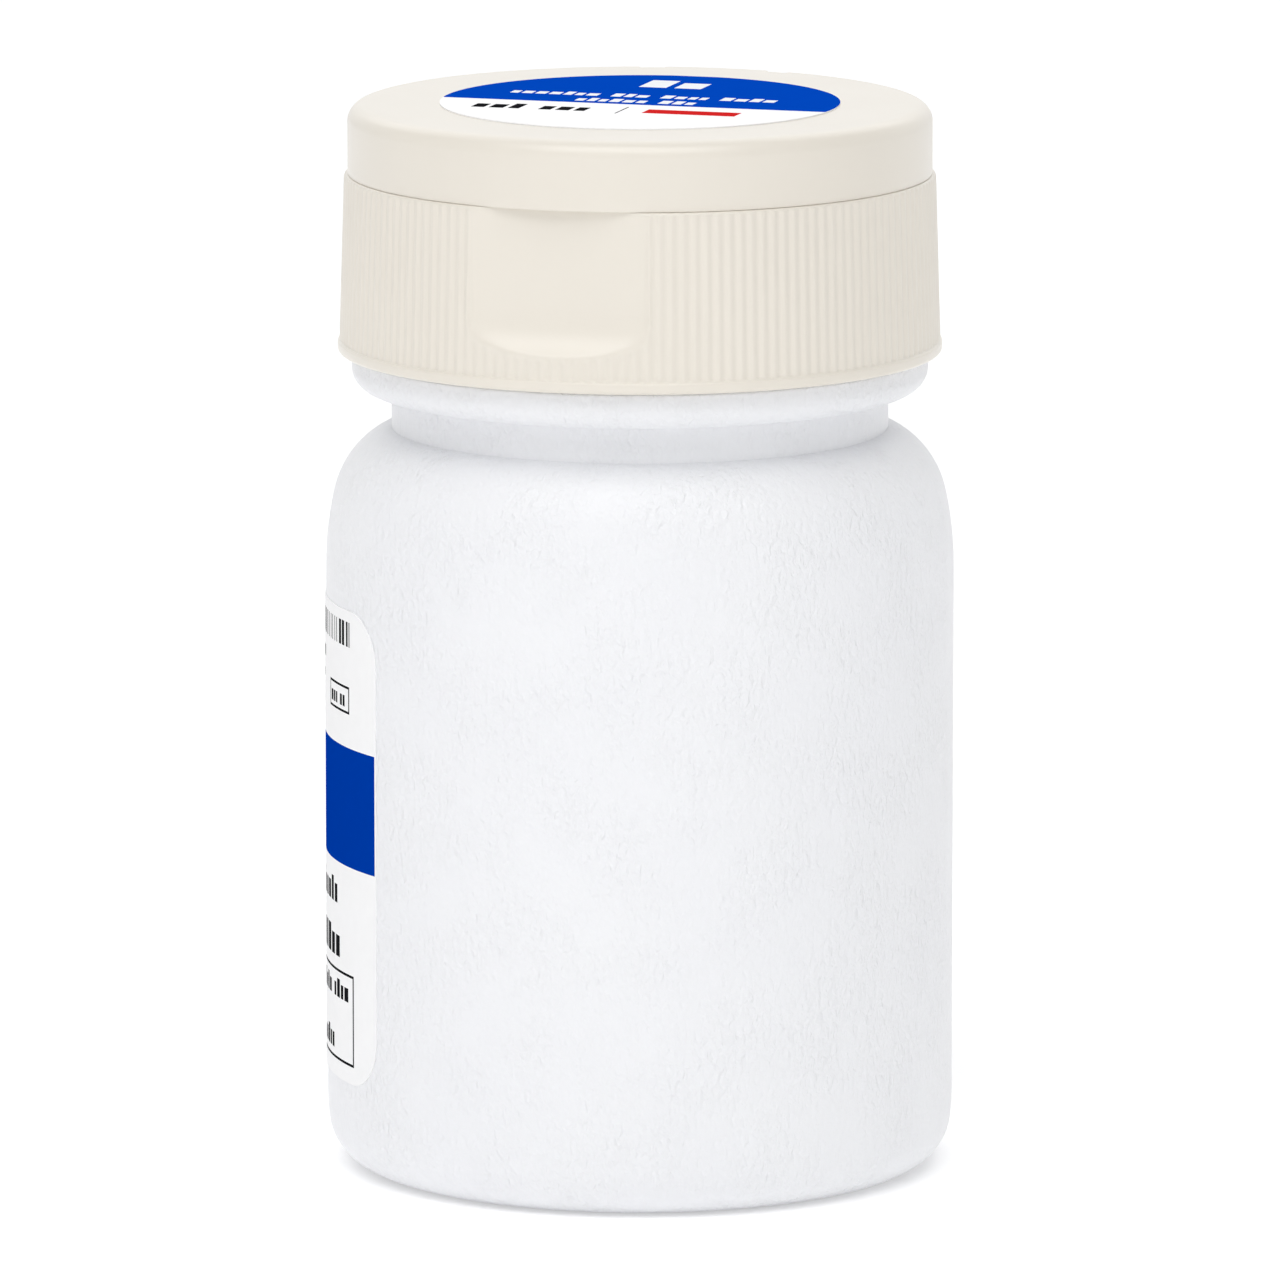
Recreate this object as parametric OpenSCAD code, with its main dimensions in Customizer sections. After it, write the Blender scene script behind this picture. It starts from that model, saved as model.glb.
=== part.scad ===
// Round wide-mouth vial with a ribbed screw closure and a flip-top lid.
// Units are millimetres. The origin is the centre of the base and +Z is up.
// The thumb recess faces -Y and the lid's hinge faces +Y.

/* [Bottle] */
// Outside diameter of the body
body_d = 50; // [49.6:0.2:52]
// Height at which the shoulder starts to curve in
shoulder_z = 48.2; // [47:0.2:48.6]
// Wall thickness of the body
wall_t = 1.1; // [0.9:0.1:1.3]
// Radius of the rounded heel
heel_r = 4; // [3:0.5:5]
// How far the middle of the base is pushed up above the standing ring
push_up = 1.2; // [0.6:0.2:1.6]

/* [Neck finish] */
// Outside diameter of the neck, under its thread
neck_d = 39.5; // [39.3:0.1:39.6]
// Inside diameter of the mouth
mouth_d = 36.4; // [36:0.1:36.8]
// Diameter of the collar under the closure
collar_d = 45.8; // [45:0.1:46]
// Rise of the thread in one turn
thread_pitch = 4.233; // [4:0.001:4.3]
// Turns of thread on the neck and in the closure
thread_turns = 1.3; // [1:0.1:1.4]

/* [Closure] */
// Diameter of the skirt at its foot, above the bead
skirt_foot_d = 47.74; // [47.5:0.02:48]
// Diameter of the skirt at the parting line
skirt_top_d = 46.94; // [46.8:0.02:47.2]
// Ribs around the skirt
rib_count = 160; // [120:2:180]
// Depth of the grooves between the ribs
rib_depth = 0.3; // [0.2:0.05:0.4]
// Diameter of the pour orifice
orifice_d = 32; // [28:0.5:32]
// Depth of the thumb recess
recess_depth = 1.35; // [0.9:0.05:1.4]

/* [Lid] */
// Diameter of the lid
lid_d = 46.38; // [46.2:0.02:46.5]
// Height of the lid above the parting line
lid_h = 5.45; // [5:0.05:6]
// Thickness of the lid's top
lid_top_t = 1.3; // [1:0.1:1.6]
// Half the angle between the two hinge notches
notch_angle = 13.8; // [13:0.2:16]

/* [Labels] */
// Length of the body label along the wall
label_w = 88.9; // [60:0.1:120]
// Height of the body label
label_h = 38.1; // [20:0.1:39]
// Diameter of the lid label
lid_label_d = 31.75; // [25:0.25:38]

/* [Hidden] */
$fn = 96;
eps = 0.01;
closure_color = [0.92, 0.90, 0.87];
hinge_color = [0.93, 0.915, 0.89];

body_r = body_d / 2;
neck_r = neck_d / 2;
mouth_r = mouth_d / 2;
collar_r = collar_d / 2;

// Base: the heel is a tight arc that runs into a slow one, up to the straight wall
heel_turn = 84;
heel_lean_r = 23;
ring_out_r = body_r - heel_r * sin(heel_turn) - heel_lean_r * (1 - sin(heel_turn));
ring_w = 4.4;
ring_in_r = ring_out_r - ring_w;
push_up_slope = 2.5;
push_up_r = ring_in_r - push_up_slope;
wall_z = heel_r * (1 - cos(heel_turn)) + heel_lean_r * cos(heel_turn);

// Shoulder: a slow arc, a tight one, then a last one that runs to the neck
shoulder_r1 = 28;
shoulder_turn1 = 12.5;
shoulder_r2 = 7.5;
shoulder_turn2 = 27.5;
shoulder_r3 = 6.4;

// Finish: collar, thread and lip
collar_z = 62.5;
collar_top_z = 65.42;
collar_round = 1.75;
collar_edge = 0.25;
lip_z = 76.4;
lip_edge = 0.35;
thread_foot_w = 2.2;
thread_crest_w = 0.8;
thread_sink = 0.3;
thread_end_sink = 0.075;
thread_step = 6;
thread_fade = 5;
neck_thread_r = 20.95;
neck_thread_z = 68.9;

// Closure: skirt, deck and the low ring that guides the lid
skirt_z = 65.55;
skirt_in_r = 21.15;
skirt_thread_r = 20;
skirt_thread_drop = 1.55;
skirt_foot_r = skirt_foot_d / 2;
skirt_top_r = skirt_top_d / 2;
bead_h = 0.95;
bead_out = 0.14;
ledge_z = 79.75;
ledge_round = 0.3;
gasket_t = 1;
deck_z = lip_z + gasket_t;
deck_t = 1.4;
deck_top_z = deck_z + deck_t;
guide_out_r = 21.6;
guide_in_r = 20.6;
guide_z = 81;
rib_top_z = 79.2;
rib_foot_z = skirt_z + bead_h;
gasket_out_r = 20.95;
gasket_in_r = 18.3;
gasket_keeper_z = 75.6;
gasket_keeper_h = 0.55;
gasket_keeper_r = 20.6;
groove_share = 0.7;
orifice_r = orifice_d / 2;
orifice_edge = 0.3;
recess_y = -(skirt_top_r + skirt_foot_r) / 2 + recess_depth;
recess_foot_r = 4.5;
recess_foot_z = 71.7;
recess_half_w = 9;

// Lid: it sits just above the ledge, and its plug ring reaches into the orifice
lid_gap = 0.1;
lid_z = ledge_z + lid_gap;
lid_r = lid_d / 2;
lid_top_z = ledge_z + lid_gap / 2 + lid_h;
lid_edge_r = 1.35;
lid_wall_t = 1.3;
lid_in_r = lid_r - lid_wall_t;
plug_gap = 0.1;
plug_r = orifice_r - plug_gap;
plug_t = 1;
plug_z = 77.9;
plug_chamfer = 0.3;
snap_angle = 50;
snap_out = 0.15;
snap_h = 0.4;
guide_snap_z = 80.35;
lid_snap_z = 79.95;
lid_snap_in = 0.08;
lid_snap_h = 0.15;

// Hinge: a thin web on the axis, with a strap in a notch on each side of it
hinge_y = 23.35;
hinge_z = 79.8;
web_to_notch_angle = 3.5;
web_angle = 2 * (notch_angle - web_to_notch_angle);
web_t = 0.28;
hinge_gap = 0.03;
web_in_r = lid_r + hinge_gap;
seat_gap = 0.02;
seat_extra_angle = 1;
web_low_z = 79;
web_high_z = 80.8;
notch_w = 2.2;
notch_depth = 0.5;
strap_w = 1.8;
strap_t = 0.4;
strap_h = 1.5;

// Labels: the body label runs from its near edge, left of the thumb recess, around the back.
// Its corner circles reach a little past its edges, so that they cut them at a clear angle.
label_t = 0.1;
label_z = 8;
label_corner = 4;
label_corner_reach = 0.1;
label_edge_angle = 230.2;
label_angle = label_w / (body_r + label_t / 2) * 180 / PI;

// Points along an arc that leaves p with heading h and turns left by t degrees
function bend(p, h, r, t, n) =
    [for (i = [1:n]) let (a = h + t * i / n) p + r * sign(t) * [sin(a) - sin(h), cos(h) - cos(a)]];

// Last point of a list
function last(list) = list[len(list) - 1];

// The heel, from the standing ring to the wall, set in by d
function heel(d) =
    let (foot = [ring_out_r, d], tight = bend(foot, 0, heel_r - d, heel_turn, 8))
    concat([foot], tight, bend(last(tight), heel_turn, heel_lean_r - d, 90 - heel_turn, 3));

// The shoulder, from the wall to the neck of radius r, set in by d
function shoulder(d, r) =
    let (foot = [body_r - d, shoulder_z],
         slow = bend(foot, 90, shoulder_r1 - d, shoulder_turn1, 4),
         h2 = 90 + shoulder_turn1,
         tight = bend(last(slow), h2, shoulder_r2 - d, shoulder_turn2, 6),
         h3 = h2 + shoulder_turn2,
         r3 = shoulder_r3 - d,
         h4 = 180 - asin(sin(h3) - (last(tight)[0] - r) / r3))
    concat([foot], slow, tight, bend(last(tight), h3, r3, h4 - h3, 6));

// Outline of half the bottle's wall
function bottle_outline() =
    let (inside = concat([[0, push_up + wall_t], [push_up_r, push_up + wall_t], [ring_in_r, wall_t]],
                         heel(wall_t), shoulder(wall_t, mouth_r), [[mouth_r, lip_z - lip_edge]],
                         bend([mouth_r, lip_z - lip_edge], 90, lip_edge, -90, 4)))
    concat([[0, push_up], [push_up_r, push_up], [ring_in_r, 0]],
           heel(0), shoulder(0, neck_r), [[neck_r, collar_z], [collar_r - collar_round, collar_z]],
           bend([collar_r - collar_round, collar_z], 0, collar_round, 90, 6),
           [[collar_r, collar_top_z - collar_edge]],
           bend([collar_r, collar_top_z - collar_edge], 90, collar_edge, 90, 3),
           [[neck_r, collar_top_z], [neck_r, lip_z - lip_edge]],
           bend([neck_r, lip_z - lip_edge], 90, lip_edge, 90, 4),
           [for (i = [len(inside) - 1:-1:0]) inside[i]]);

// A right-hand thread on a wall of radius root_r, with its crest at crest_r. Both ends fade into the wall.
module thread(root_r, crest_r, z) {
    steps = round(thread_turns * 360 / thread_step);
    side = sign(crest_r - root_r);
    function height(i) = min(1, i / thread_fade, (steps - i) / thread_fade);
    function section(i) =
        let (end = root_r - side * thread_end_sink,
             crest = end + (crest_r - end) * height(i),
             root = root_r - side * thread_sink,
             zi = z + thread_pitch * i * thread_step / 360,
             half = thread_crest_w / 2 + (thread_foot_w - thread_crest_w) / 2 * (1 - height(i)))
        [[root, zi - thread_foot_w / 2], [crest, zi - half],
         [crest, zi + half], [root, zi + thread_foot_w / 2]];
    points = [for (i = [0:steps], q = section(i))
        let (a = i * thread_step) [q[0] * cos(a), q[0] * sin(a), q[1]]];
    sides = [for (i = [0:steps - 1], k = [0:3])
        let (a = 4 * i + k, b = 4 * i + (k + 1) % 4) side > 0 ? [a, b, b + 4, a + 4] : [a, a + 4, b + 4, b]];
    ends = side > 0 ? [[3, 2, 1, 0], [for (k = [0:3]) 4 * steps + k]]
                    : [[0, 1, 2, 3], [for (k = [3:-1:0]) 4 * steps + k]];
    polyhedron(points, concat(sides, ends), convexity = 6);
}

// Part of a ring centred on the direction a, turned from the square r0 to r1, z0 to z1
module ring_part(a, angle, r0, r1, z0, z1) {
    rotate([0, 0, a - angle / 2]) rotate_extrude(angle = angle)
        translate([r0, z0]) square([r1 - r0, z1 - z0]);
}

// A block facing out along the direction a, from radius r0 to r1
module radial_block(a, w, r0, r1, z0, z1) {
    rotate([0, 0, a - 90]) translate([-w / 2, r0, z0]) cube([w, r1 - r0, z1 - z0]);
}

module bottle() {
    color([0.95, 0.955, 0.96]) union() {
        rotate_extrude() polygon(bottle_outline());
        thread(neck_r, neck_thread_r, neck_thread_z);
    }
}

// Flat outline of the ribs and the grooves between them
module rib_ring() {
    step = 360 / rib_count;
    crest = skirt_foot_r + eps;
    floor_r = skirt_top_r - rib_depth;
    polygon([for (i = [0:rib_count - 1], k = [-1:1])
        let (a = (i + k * groove_share / 2) * step, r = k == 0 ? floor_r : crest) r * [cos(a), sin(a)]]);
}

module closure_shell() {
    rotate_extrude() polygon(concat(
        [[skirt_in_r, skirt_z], [skirt_foot_r + bead_out, skirt_z],
         [skirt_foot_r + bead_out, skirt_z + bead_h], [skirt_foot_r, skirt_z + bead_h],
         [skirt_top_r, ledge_z - ledge_round]],
        bend([skirt_top_r, ledge_z - ledge_round], 90, ledge_round, 90, 4),
        [[guide_out_r, ledge_z], [guide_out_r, guide_z], [guide_in_r, guide_z], [guide_in_r, deck_top_z],
         [orifice_r + orifice_edge, deck_top_z], [orifice_r, deck_top_z - orifice_edge], [orifice_r, deck_z],
         [skirt_in_r, deck_z], [skirt_in_r, gasket_keeper_z + gasket_keeper_h],
         [gasket_keeper_r, gasket_keeper_z + gasket_keeper_h / 2], [skirt_in_r, gasket_keeper_z]]));
}

// A flat cut across the skirt that runs out at its foot through a round hollow
module thumb_recess() {
    translate([-recess_half_w, 0, 0]) rotate([90, 0, 90]) linear_extrude(2 * recess_half_w) {
        translate([recess_y - recess_foot_r, recess_foot_z]) circle(recess_foot_r);
        translate([recess_y - 2 * recess_foot_r, recess_foot_z]) square([2 * recess_foot_r, ledge_z]);
    }
}

module closure_base() {
    color(closure_color) union() {
        difference() {
            closure_shell();
            translate([0, 0, rib_foot_z]) linear_extrude(rib_top_z - rib_foot_z) difference() {
                circle(body_r);
                rib_ring();
            }
            thumb_recess();
            ring_part(90, web_angle + seat_extra_angle, web_in_r - seat_gap, body_r,
                      web_low_z, ledge_z + eps);
        }
        thread(skirt_in_r, skirt_thread_r, neck_thread_z - skirt_thread_drop);
        ring_part(-90, snap_angle, guide_out_r - eps, guide_out_r + snap_out,
                  guide_snap_z, guide_snap_z + snap_h);
    }
}

module flip_lid() {
    color([0.945, 0.935, 0.92]) union() {
        difference() {
            rotate_extrude() polygon(concat(
                [[0, lid_top_z - lid_top_t], [plug_r - plug_t, lid_top_z - lid_top_t],
                 [plug_r - plug_t, plug_z],
                 [plug_r - plug_chamfer, plug_z], [plug_r, plug_z + 2 * plug_chamfer],
                 [plug_r, lid_top_z - lid_top_t], [lid_in_r, lid_top_z - lid_top_t], [lid_in_r, lid_z],
                 [lid_r, lid_z], [lid_r, lid_top_z - lid_edge_r]],
                bend([lid_r, lid_top_z - lid_edge_r], 90, lid_edge_r, 90, 6), [[0, lid_top_z]]));
            for (side = [-1, 1])
                radial_block(90 + side * notch_angle, notch_w, lid_r - notch_depth, body_r,
                             lid_z - eps, lid_top_z + eps);
        }
        ring_part(-90, snap_angle, lid_in_r - lid_snap_in, lid_in_r + eps,
                  lid_snap_z, lid_snap_z + lid_snap_h);
    }
}

module hinge_web() {
    color(hinge_color) ring_part(90, web_angle, web_in_r, web_in_r + web_t, web_low_z, web_high_z);
}

// One strap stands on the ledge, in the notch on its side of the web
module hinge_strap(side) {
    low = lid_r - notch_depth + hinge_gap;
    color(hinge_color)
        radial_block(90 + side * notch_angle, strap_w, low, low + strap_t, ledge_z, ledge_z + strap_h);
}

module hinge_strap_left() {
    hinge_strap(1);
}

module hinge_strap_right() {
    hinge_strap(-1);
}

module gasket() {
    color([0.88, 0.89, 0.9]) difference() {
        translate([0, 0, lip_z]) cylinder(h = gasket_t, r = gasket_out_r);
        translate([0, 0, lip_z - eps]) cylinder(h = gasket_t + 2 * eps, r = gasket_in_r);
    }
}

// A square corner with its inside rounded off, to trim one corner of the label
module corner_trim(across, up) {
    rotate([90, 0, 0]) linear_extrude(2 * body_r) mirror([across < 0 ? 1 : 0, 0]) mirror([0, up < 0 ? 1 : 0])
        difference() {
            square(2 * label_corner);
            circle(label_corner + label_corner_reach);
        }
}

module body_label() {
    middle = label_edge_angle - label_angle / 2;
    corner_angle = label_angle / 2 - label_corner / body_r * 180 / PI;
    color("white") difference() {
        ring_part(middle, label_angle, body_r, body_r + label_t, label_z, label_z + label_h);
        for (across = [-1, 1], up = [-1, 1])
            rotate([0, 0, middle + across * corner_angle - 90])
                translate([0, 2 * body_r, label_z + (up > 0 ? label_h - label_corner : label_corner)])
                    corner_trim(-across, up);
    }
}

module lid_label() {
    color([0.1, 0.25, 0.7]) translate([0, 0, lid_top_z]) cylinder(h = label_t, d = lid_label_d);
}

bottle();
closure_base();
flip_lid();
hinge_web();
hinge_strap_left();
hinge_strap_right();
gasket();
body_label();
lid_label();
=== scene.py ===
"""The looks of a round white vial with a ribbed flip-top closure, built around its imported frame.

Lengths are in millimetres until a mesh is made, and the frame's own metres after that.
+Z is up, -Y faces the thumb recess and +Y faces the lid's hinge.
"""
import math
import random

import bpy
import numpy as np
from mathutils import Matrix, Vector


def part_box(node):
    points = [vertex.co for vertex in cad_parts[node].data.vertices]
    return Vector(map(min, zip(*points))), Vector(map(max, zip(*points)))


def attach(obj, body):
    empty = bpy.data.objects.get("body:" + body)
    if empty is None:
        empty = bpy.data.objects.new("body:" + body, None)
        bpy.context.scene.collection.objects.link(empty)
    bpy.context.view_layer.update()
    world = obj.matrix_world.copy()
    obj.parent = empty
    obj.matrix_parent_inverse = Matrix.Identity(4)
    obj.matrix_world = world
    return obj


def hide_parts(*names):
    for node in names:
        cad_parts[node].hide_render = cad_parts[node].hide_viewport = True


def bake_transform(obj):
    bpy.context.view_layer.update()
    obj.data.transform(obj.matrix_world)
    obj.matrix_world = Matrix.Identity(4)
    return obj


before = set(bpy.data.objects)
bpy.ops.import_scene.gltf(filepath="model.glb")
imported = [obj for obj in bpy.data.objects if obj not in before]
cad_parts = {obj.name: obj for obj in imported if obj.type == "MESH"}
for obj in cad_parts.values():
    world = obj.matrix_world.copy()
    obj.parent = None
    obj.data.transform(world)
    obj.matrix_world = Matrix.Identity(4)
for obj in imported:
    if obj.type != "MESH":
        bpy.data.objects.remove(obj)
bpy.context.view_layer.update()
MM = 0.001
# Outline points this close are one point, and radii or heights this near are the same.
SAME_POINT = 1e-6
NEAR = 0.01
# Edges that turn by more than this many degrees are shaded sharp.
SHARP_ANGLE = 40


def span(node):
    """A CAD node's lowest and highest corner, in millimetres."""
    low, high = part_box(node)
    return [c / MM for c in low], [c / MM for c in high]


# ---------------------------------------------------------------- sizes, from the frame where it has them
bottle_high = span("bottle")[1]
base_low, base_high = span("closure_base")
lid_low, lid_high = span("flip_lid")
gasket_low, gasket_high = span("gasket")
label_low, label_high = span("body_label")
disc_low, disc_high = span("lid_label")

# Bottle: wall, heel, standing ring, pushed-up base, the mould's parting line under it, and shoulder.
# Each shoulder bend is a radius and the degrees that it turns.
BODY_R = bottle_high[0]
LIP_Z = bottle_high[2]
WALL_T = 1.1
HEEL_R = 4.0
HEEL_TURN = 84
HEEL_LEAN_R = 23.0
RING_W = 4.4
RING_EDGE_W = 0.4
RING_EDGE_H = 0.08
PUSH_UP = 1.2
PUSH_UP_SLOPE_W = 2.8
PUSH_UP_ROUND = 1.6
PUSH_UP_TURN = 28
FLOOR_INSET = 7
MIDDLE_R = 0.4
PARTING_H = 0.1
PARTING_W = 0.35
PARTING_REACH = 19
PARTING_LOW_Z = 0.3
SHOULDER_Z = 48.2
SHOULDER_BENDS = ((28.0, 12.5), (7.5, 27.5))
SHOULDER_LAST_R = 6.4

# Bottle's neck: mouth, collar, lip and thread.
NECK_R = 19.75
MOUTH_R = 18.2
COLLAR_R = 22.9
COLLAR_Z = 62.5
COLLAR_TOP_Z = 65.42
COLLAR_EDGE = 0.25
COLLAR_ROUND = 1.75
UNDER_COLLAR_ROUND = 0.25
OVER_COLLAR_ROUND = 0.2
LIP_ROUND = 0.35
THREAD_R = 20.95
THREAD_Z = 68.9
THREAD_PITCH = 4.233
THREAD_TURNS = 1.3
THREAD_FOOT = 1.1
THREAD_CREST = 0.4
THREAD_FADE = 30

# Closure base: skirt, bead at its foot, ribs, deck, gasket keeper, guide ring, orifice, snap bead and recess.
SKIRT_Z = base_low[2]
SKIRT_IN_R = 21.15
SKIRT_IN_ROUND = 0.3
SKIRT_IN_ROUND_Z = SKIRT_Z + 0.35
SKIRT_THREAD_R = 20.0
SKIRT_THREAD_DROP = 1.55
BEAD_R = base_high[0]
BEAD_H = 0.95
BEAD_ROUND = 0.3
BEAD_TOP_ROUND = 0.24
BEAD_TOP_TURN = 65
SKIRT_FOOT_R = BEAD_R - 0.14
SKIRT_TOP_R = SKIRT_FOOT_R - 0.4
LEDGE_Z = 79.75
LEDGE_ROUND = 0.3
RIBS = 160
RIB_DEPTH = 0.14
RIB_TOP_FADE = 0.3
RIB_FOOT_FADE = 0.12
DECK_Z = gasket_high[2]
DECK_TOP_Z = DECK_Z + 1.4
DECK_ROUND = 0.3
DECK_UNDER_ROUND = 0.2
SKIRT_IN_TOP_Z = DECK_Z - 0.25
KEEPER_DEPTH = 0.55
KEEPER_DROP = 1.55
KEEPER_SPREAD = 0.18
GUIDE_Z = base_high[2]
GUIDE_OUT_R = 21.6
GUIDE_IN_R = 20.6
GUIDE_FOOT_ROUND = 0.15
GUIDE_OUT_ROUND = 0.3
GUIDE_IN_ROUND = 0.2
ORIFICE_R = 16.0
ORIFICE_TOP_ROUND = 0.4
ORIFICE_UNDER_ROUND = 0.2
SNAP_HALF_ANGLE = 25
SNAP_FADE_ANGLE = 3
SNAP_DEPTH = 0.15
SNAP_RISE = 0.8
SNAP_SPREAD = 0.16
RECESS_Y = 22.32
RECESS_HALF_W = 7.15
RECESS_SIDE_SLOPE = 1.2
RECESS_FOOT_Z = 71.7
RECESS_FOOT_R = 4.5
RECESS_BLEND = 0.25
RECESS_RIB_FADE = 0.7
# Keeps the recess's flat face from running off to infinity at the sides.
LEAST_FRONT = 0.5

# Lid: rim, top, snap bead, moulding gate, plug ring with its lead-in, and hinge notches.
LID_Z = LEDGE_Z + 0.1
RIM_Z = LEDGE_Z + 0.02
LID_TOP_Z = lid_high[2]
LID_R = lid_high[0]
LID_EDGE_R = 1.35
LID_IN_R = LID_R - 1.3
LID_IN_ROUND = 0.4
LID_TOP_T = 1.3
LID_TOP_IN = 0.8
LID_TOP_RINGS = (17.5, 13.0, 8.0, 3.0)
LID_UNDER_RING = 1.2
LID_SNAP_DEPTH = 0.08
LID_SNAP_RISE = 0.2
LID_SNAP_SPREAD = 0.1
RIM_IN_ROUND = 0.12
RIM_OUT_ROUND = 0.06
GATE_H = 0.25
GATE_R = 0.9
PLUG_R = ORIFICE_R - 0.1
PLUG_T = 1.0
PLUG_Z = lid_low[2]
PLUG_ROOT_ROUND = 0.3
PLUG_TIP_ROUND = 0.15
PLUG_LEAD_W = 0.35
PLUG_LEAD_H = 0.75
PLUG_LEAD_TURN = 65
NOTCH_ANGLE = 13.8
NOTCH_W = 2.2
NOTCH_DEPTH = 0.5
NOTCH_FADE = 0.16
NOTCH_STEP = 0.1
NOTCH_REACH = 0.8

# Hinge: its axis, the web between the notches, the web's seat in the skirt, and the two straps.
HINGE_Z = 79.8
HINGE_THIN_H = 0.22
WEB_ANGLE = 2 * NOTCH_ANGLE - 7
WEB_IN_R = LID_R + 0.03
WEB_T = 0.28
WEB_LOW_Z = 79.0
WEB_HIGH_Z = 80.8
WEB_WAIST = 0.45
WEB_STEPS = 24
SEAT_SPARE_ANGLE = 0.7
SEAT_FADE_ANGLE = 0.25
SEAT_GAP = 0.02
STRAP_IN_R = LID_R - NOTCH_DEPTH + 0.03
STRAP_T = 0.4
STRAP_W = 1.8
STRAP_H = 1.5
STRAP_WAIST = 0.8
STRAP_ROWS = 20
STRAP_STEPS = 8

# Gasket, and the labels with their blocks in place of letters.
GASKET_IN_R = 18.3
GASKET_EDGE = 0.12

LABEL_T = 0.1
LABEL_LIFT = 0.005
LABEL_W = 88.9
LABEL_RIGHT_ANGLE = 230.2
LABEL_CORNER = 4.0
LETTER_GAP = 0.32
TALL_SHARE = 0.3
SHORT_BY = 0.25


# ---------------------------------------------------------------- outlines
def bend(start, heading, radius, turn, steps):
    """Points along an arc that leaves start with that heading and turns left by turn degrees."""
    out = []
    side = math.copysign(radius, turn)
    h0 = math.radians(heading)
    for i in range(1, steps + 1):
        h = math.radians(heading + turn * i / steps)
        out.append((start[0] + side * (math.sin(h) - math.sin(h0)),
                    start[1] + side * (math.cos(h0) - math.cos(h))))
    return out


def straight(start, end, step):
    """Points from start to end, about step apart, without start."""
    n = max(1, round(math.dist(start, end) / step))
    return [(start[0] + (end[0] - start[0]) * i / n, start[1] + (end[1] - start[1]) * i / n)
            for i in range(1, n + 1)]


def route(*pieces):
    """Joins points and lists of points into one outline.

    A pair (point, step) is reached in even steps. A point that repeats the one before it is left out.
    """
    out = []
    for piece in pieces:
        if isinstance(piece, list):
            new = piece
        elif isinstance(piece[0], tuple):
            new = straight(out[-1], piece[0], piece[1])
        else:
            new = [piece]
        for point in new:
            if not out or math.dist(point, out[-1]) > SAME_POINT:
                out.append(point)
    return out


def heel(inset):
    """The rounded foot of the bottle, from its standing ring up to the straight wall."""
    lean = math.sin(math.radians(HEEL_TURN))
    ring_r = BODY_R - HEEL_R * lean - HEEL_LEAN_R * (1 - lean)
    out = [(ring_r, inset)]
    out += bend(out[-1], 0, HEEL_R - inset, HEEL_TURN, 18)
    out += bend(out[-1], HEEL_TURN, HEEL_LEAN_R - inset, 90 - HEEL_TURN, 6)
    return out


def shoulder(inset, neck):
    """The shoulder's three arcs, from the straight wall in to the radius neck.

    The last arc turns just as far as it takes to reach that radius.
    """
    out = [(BODY_R - inset, SHOULDER_Z)]
    heading = 90
    for radius, turn in SHOULDER_BENDS:
        out += bend(out[-1], heading, radius - inset, turn, 12)
        heading += turn
    last_r = SHOULDER_LAST_R - inset
    last = 180 - math.degrees(math.asin(math.sin(math.radians(heading)) - (out[-1][0] - neck) / last_r))
    return out + bend(out[-1], heading, last_r, last - heading, 10)


# ---------------------------------------------------------------- meshes
def ring(angles, radius, z):
    """Points around the axis, at angles in radians. Radius and z are numbers or one value per angle."""
    r = np.broadcast_to(np.asarray(radius, float), angles.shape)
    h = np.broadcast_to(np.asarray(z, float), angles.shape)
    return np.stack([r * np.cos(angles), r * np.sin(angles), h], axis=1)


def even_angles(count):
    """Angles in radians, evenly round the axis."""
    return np.arange(count) * (2 * math.pi / count)


def stitch(start_a, count_a, start_b, count_b):
    """Faces between two rings of vertices.

    One ring may have a whole number of times the other's points, or be a single point.
    """
    if count_b == 1:
        return [(start_a + i, start_a + (i + 1) % count_a, start_b) for i in range(count_a)]
    if count_a == 1:
        return [(start_a, start_b + (i + 1) % count_b, start_b + i) for i in range(count_b)]
    if count_a == count_b:
        return [(start_a + i, start_a + (i + 1) % count_a, start_b + (i + 1) % count_a, start_b + i)
                for i in range(count_a)]
    faces = []
    fine_first = count_a > count_b
    many, few = (count_a, count_b) if fine_first else (count_b, count_a)
    many_start, few_start = (start_a, start_b) if fine_first else (start_b, start_a)
    times = many // few
    for i in range(few):
        here, there = few_start + i, few_start + (i + 1) % few
        for k in range(times):
            p, q = many_start + i * times + k, many_start + (i * times + k + 1) % many
            near = here if k < times / 2 else there
            faces.append((p, q, near) if fine_first else (q, p, near))
            if k == (times - 1) // 2:
                faces.append((q, there, here) if fine_first else (q, here, there))
    return faces


def mesh_object(name, points, faces, material):
    """A smooth-shaded mesh in metres, from points in millimetres."""
    mesh = bpy.data.meshes.new(name)
    mesh.from_pydata((np.asarray(points) * MM).tolist(), [], faces)
    mesh.validate()
    mesh.shade_smooth()
    mesh.set_sharp_from_angle(angle=math.radians(SHARP_ANGLE))
    mesh.materials.append(material)
    obj = bpy.data.objects.new(name, mesh)
    bpy.context.scene.collection.objects.link(obj)
    return obj


def skin(name, rings, material, loop=False):
    """A surface through rings of points, each stitched to the next, and the last to the first if loop."""
    starts = np.cumsum([0] + [len(r) for r in rings]).tolist()
    faces = []
    for i in range(len(rings) if loop else len(rings) - 1):
        j = (i + 1) % len(rings)
        faces += stitch(starts[i], len(rings[i]), starts[j], len(rings[j]))
    return mesh_object(name, np.concatenate(rings), faces, material)


def smooth(x):
    """An even step from 0 to 1, level at both ends."""
    x = np.clip(x, 0, 1)
    return x * x * (3 - 2 * x)


def thread_height(angles, z, foot_z):
    """How far a thread stands out at each angle and height z, from 0 at its root to 1 on its crest."""
    best = np.zeros_like(angles)
    total = THREAD_TURNS * 360
    for turn in range(math.ceil(THREAD_TURNS)):
        a = np.degrees(angles) + 360 * turn
        away = np.abs(z - (foot_z + THREAD_PITCH * a / 360))
        flank = smooth((THREAD_FOOT - away) / (THREAD_FOOT - THREAD_CREST))
        fade = smooth(np.minimum(a, total - a) / THREAD_FADE)
        best = np.maximum(best, flank * fade)
    return best


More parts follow.
